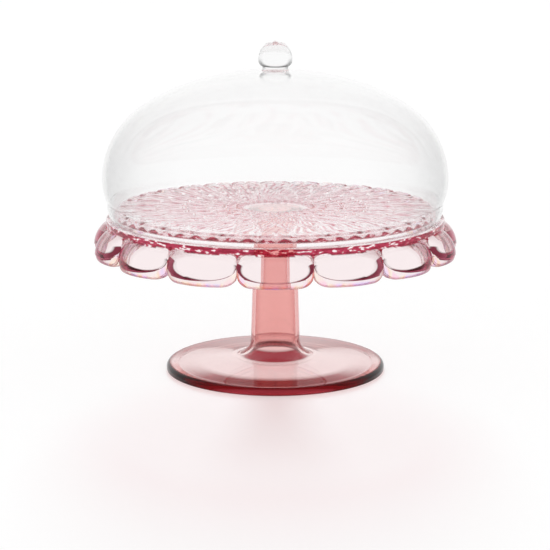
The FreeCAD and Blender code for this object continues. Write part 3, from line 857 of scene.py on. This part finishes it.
# STEM_TINT is the stem's own pink. The rest are painted: shade on the stem's outline, red and
# near-black shade on the foot's edge, and a painted reflection of that red edge.
STEM_TINT = (0.91, 0.62, 0.60)
STEM_OUTLINE_SHADE = (0.62, 0.20, 0.20)
EDGE_RED_SHADE = (0.15, 0.003, 0.006)
EDGE_BLACK_SHADE = (0.003, 0.002, 0.002)
BAND_RED_REFLECTION = (0.24, 0.006, 0.009)


def pedestal_colour(tree):
    """A pink stem with painted shade deepening its outline, and a foot whose edge is painted
    shade, deep red in front and nearly black where it turns away, with a painted reflection of
    that red as a band inside the front edge. The reflections get the same painted shade."""
    masks = zone_masks(tree)
    # Painted shade along the stem's outline, where it is seen edge on.
    outline = maths(tree, "MULTIPLY", masks[BLUE_MASK],
                    ramp(tree, facing(tree), (0.30, 0.0), (0.75, 1.0)))
    # Painted shade on the foot's edge: red, and near black where the edge turns away.
    red_edge_shade = ramp(tree, masks[RED_MASK], (0.0, 0.0), (0.45, 1.0))
    shade_away = maths(tree, "MULTIPLY", ramp(tree, facing(tree), (0.18, 0.0), (0.45, 1.0)),
                 ramp(tree, masks[RED_MASK], (0.55, 0.0), (0.90, 1.0)))
    # The band is a painted reflection of the red edge. The first window takes the underside, seen
    # through the foot, and the second one the top face, both in front only.
    slanting = ramp(tree, facing(tree), (0.05, 0.0), (0.11, 1.0), (0.224, 1.0), (0.238, 0.0),
                    (0.57, 0.0), (0.60, 1.0), (0.65, 1.0), (0.69, 0.0))
    band = maths(tree, "MULTIPLY", masks[GREEN_MASK], slanting)

    tint = blended(tree, masks[BLUE_MASK], WHITE, STEM_TINT)
    tint = blended(tree, outline, tint, STEM_OUTLINE_SHADE)
    tint = blended(tree, red_edge_shade, tint, blended(tree, shade_away, EDGE_RED_SHADE, EDGE_BLACK_SHADE))
    # Reflections carry the same painted shade and the painted red band.
    gloss = blended(tree, outline, WHITE, (0.78, 0.45, 0.45))
    gloss_edge = blended(tree, shade_away, (0.60, 0.10, 0.11), (0.03, 0.02, 0.02))
    gloss = blended(tree, red_edge_shade, gloss, gloss_edge)
    return blended(tree, band, tint, BAND_RED_REFLECTION), blended(tree, band, gloss, (0.24, 0.03, 0.04))


DOME_SIDE_END = 0.205
DOME_TOP_START = 0.262


def dome_colour(tree):
    """Painted grey shade towards the outline, less so near the crown, with dimmer reflections
    where the dome faces the viewer."""
    high = ramp(tree, upward(tree, "Object"), (DOME_SIDE_END, 0.0), (DOME_TOP_START, 1.0))
    # Painted grey shade towards the outline.
    side = ramp(tree, facing(tree), (0.15, 0.985), (0.36, 0.93), (0.60, (0.79, 0.79, 0.792)),
                (0.90, (0.60, 0.60, 0.603)))
    top = ramp(tree, facing(tree), (0.40, 0.99), (0.85, 0.985), (0.97, (0.80, 0.80, 0.803)))
    dim = ramp(tree, facing(tree), (0.30, 0.55), (0.80, 1.0))
    tint = blended(tree, high, side, top)
    return tint, multiplied(tree, multiplied(tree, tint, tint), dim)


KNOB_CLEAR = 0.98
# Painted shade: a grey line above the seat and near black under the belly.
SEAT_SHADE = 0.12
BELLY_SHADE = (0.004, 0.004, 0.004)


def knob_colour(tree):
    """A painted dark line of shade just above the seat, painted shade under the belly where it
    slants away, painted grey shade towards the outline, and a clear rosette on top. Its
    reflections carry the same painted shade."""
    seat = SEAT_LEVEL * MM
    flat = KNOB_FLAT * MM
    # Painted line of shade just above the seat.
    seat_shade_line = ramp(tree, upward(tree, "Object"), (seat + 0.0001, KNOB_CLEAR),
                      (seat + 0.0002, SEAT_SHADE), (seat + 0.0008, SEAT_SHADE),
                      (seat + 0.0011, KNOB_CLEAR))
    belly = ramp(tree, upward(tree, "Object"), (seat + 0.0024, 0.0), (seat + 0.0030, 1.0),
                 (seat + 0.0062, 1.0), (seat + 0.0095, 0.0))
    slanting = ramp(tree, facing(tree), (0.26, 0.0), (0.48, 1.0))
    # Painted grey shade towards the outline.
    side = ramp(tree, facing(tree), (0.30, 0.97), (0.55, (0.86, 0.86, 0.863)),
                (0.80, (0.62, 0.62, 0.623)), (0.97, (0.36, 0.36, 0.363)))
    rosette = ramp(tree, upward(tree, "Object"), (flat - 0.002, 0.0), (flat, 1.0))
    side = blended(tree, rosette, side, (0.96, 0.96, 0.96))
    tint = multiplied(tree, seat_shade_line, side)
    # Painted shade under the belly where it slants away.
    tint = blended(tree, maths(tree, "MULTIPLY", belly, slanting), tint, BELLY_SHADE)
    return tint, multiplied(tree, tint, tint)


PLASTIC_IOR = 1.49


def clear_plastic(name, surface, shadow, colour, depth=None, density=0.0):
    """A clear or tinted plastic. colour gives the tint of each face and of its reflections, and
    surface is the face's plain colour. depth and density tint the light by the length of its way
    through. Shadow rays get through in the shadow tint."""
    look = bpy.data.materials.new(name)
    look.use_nodes = True
    tree = look.node_tree
    tree.nodes.clear()
    body = add_node(tree, "ShaderNodeBsdfPrincipled", Base_Color=surface, Roughness=0.0,
                    IOR=PLASTIC_IOR, Transmission_Weight=1.0)
    tint, gloss = colour(tree)
    tree.links.new(tint, body.inputs["Base Color"])
    tree.links.new(gloss, body.inputs["Specular Tint"])
    through = add_node(tree, "ShaderNodeBsdfTransparent", Color=shadow)
    path = tree.nodes.new("ShaderNodeLightPath")
    out = add_node(tree, "ShaderNodeOutputMaterial", Surface=mixed_shaders(
        tree, path.outputs["Is Shadow Ray"], body.outputs[0], through.outputs[0]))
    if depth:
        fill = add_node(tree, "ShaderNodeVolumeAbsorption", Color=depth, Density=density)
        tree.links.new(fill.outputs[0], out.inputs["Volume"])
    return look


LOOKS = [
    (pedestal, "pedestal", "stand", "pink_clear",
     clear_plastic("pink_clear", WHITE, (0.85, 0.62, 0.62), pedestal_colour,
                   depth=(0.88, 0.07, 0.0), density=13.0)),
    (plate, "plate", "stand", "pink_faceted",
     clear_plastic("pink_faceted", (1.0, 0.98, 0.985), (0.96, 0.855, 0.865), plate_colour,
                   depth=(0.82, 0.0, 0.20), density=0.6)),
    (dome_shell, "dome_shell", "dome", "clear",
     clear_plastic("clear", WHITE, (0.97, 0.97, 0.97), dome_colour)),
    (dome_knob, "dome_knob", "dome", "clear_knob",
     clear_plastic("clear_knob", WHITE, (0.95, 0.95, 0.95), knob_colour)),
]
for piece, node, body, slot, look in LOOKS:
    piece.data.materials.append(look)
    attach(piece, body)
    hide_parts(node)


# Floor: a plain white sheet that keeps the object's soft shadow.
FLOOR_RADIUS = 30.0
FLOOR_DEPTH = 0.0003
FLOOR_GREY = (0.60, 0.60, 0.60)
FLOOR_GLOW = (0.42, 0.42, 0.42)

bpy.ops.mesh.primitive_circle_add(vertices=96, radius=FLOOR_RADIUS, fill_type="NGON",
                                  location=(0, 0, -FLOOR_DEPTH))
floor = bpy.context.object
floor.name = "floor"
floor_look = bpy.data.materials.new("floor_white")
floor_look.use_nodes = True
tree = floor_look.node_tree
tree.nodes.clear()
paper = add_node(tree, "ShaderNodeBsdfDiffuse", Color=FLOOR_GREY)
glow = add_node(tree, "ShaderNodeEmission", Color=FLOOR_GLOW, Strength=1.0)
both = tree.nodes.new("ShaderNodeAddShader")
tree.links.new(paper.outputs[0], both.inputs[0])
tree.links.new(glow.outputs[0], both.inputs[1])
add_node(tree, "ShaderNodeOutputMaterial", Surface=both.outputs[0])
floor.data.materials.append(floor_look)


# World: white, with a faintly grey band well above the horizon, the same all round. It is seen
# directly, in the pieces and through them. The floor is lit by a plain half-bright grey instead.
world = bpy.data.worlds.new("studio")
bpy.context.scene.world = world
world.use_nodes = True
tree = world.node_tree
tree.nodes.clear()
bands = ramp(tree, upward(tree, "Generated"), (0.0, 1.0), (0.38, 1.0), (0.55, 0.93), (0.80, 0.93),
             (0.90, 1.0), (1.0, 1.0), interpolation="EASE")
seen = add_node(tree, "ShaderNodeBackground", Color=bands, Strength=1.0)
light = add_node(tree, "ShaderNodeBackground", Color=(0.9, 0.9, 0.9), Strength=0.5)
path = tree.nodes.new("ShaderNodeLightPath")
looked_at = maths(tree, "MAXIMUM", path.outputs["Is Camera Ray"], path.outputs["Is Glossy Ray"])
looked_at = maths(tree, "MAXIMUM", looked_at, path.outputs["Is Transmission Ray"])
add_node(tree, "ShaderNodeOutputWorld",
         Surface=mixed_shaders(tree, looked_at, light.outputs[0], seen.outputs[0]))


# A soft sun behind the stand throws its shadow forward.
SUN_STRENGTH = 4.0
SUN_WIDTH = 18.0
SUN_HEIGHT = 24.5

sun_data = bpy.data.lights.new("back_sun", "SUN")
sun_data.energy = SUN_STRENGTH
sun_data.angle = math.radians(SUN_WIDTH)
sun = bpy.data.objects.new("back_sun", sun_data)
sun.rotation_euler = (math.radians(-(90.0 - SUN_HEIGHT)), 0.0, 0.0)
sun.visible_glossy = False
sun.visible_transmission = False
bpy.context.scene.collection.objects.link(sun)


# Camera: in front, above the dome, looking slightly down.
LENS = 125.5
SENSOR = 36.0
CAMERA_PLACE = (-0.0003, -1.758, 0.4658)
CAMERA_TILT = 12.097

camera_data = bpy.data.cameras.new("camera")
camera_data.lens = LENS
camera_data.sensor_width = SENSOR
camera = bpy.data.objects.new("camera", camera_data)
camera.location = CAMERA_PLACE
camera.rotation_euler = (math.radians(90.0 - CAMERA_TILT), 0.0, 0.0)
bpy.context.scene.collection.objects.link(camera)
bpy.context.scene.camera = camera
bpy.context.scene.view_settings.view_transform = "Standard"

# Light passes many clear faces on its way, so the paths are long.
BOUNCES = 64
SHADOW_BOUNCES = 24

cycles = bpy.context.scene.cycles
cycles.max_bounces = BOUNCES
cycles.transmission_bounces = BOUNCES
cycles.glossy_bounces = BOUNCES
cycles.transparent_max_bounces = SHADOW_BOUNCES
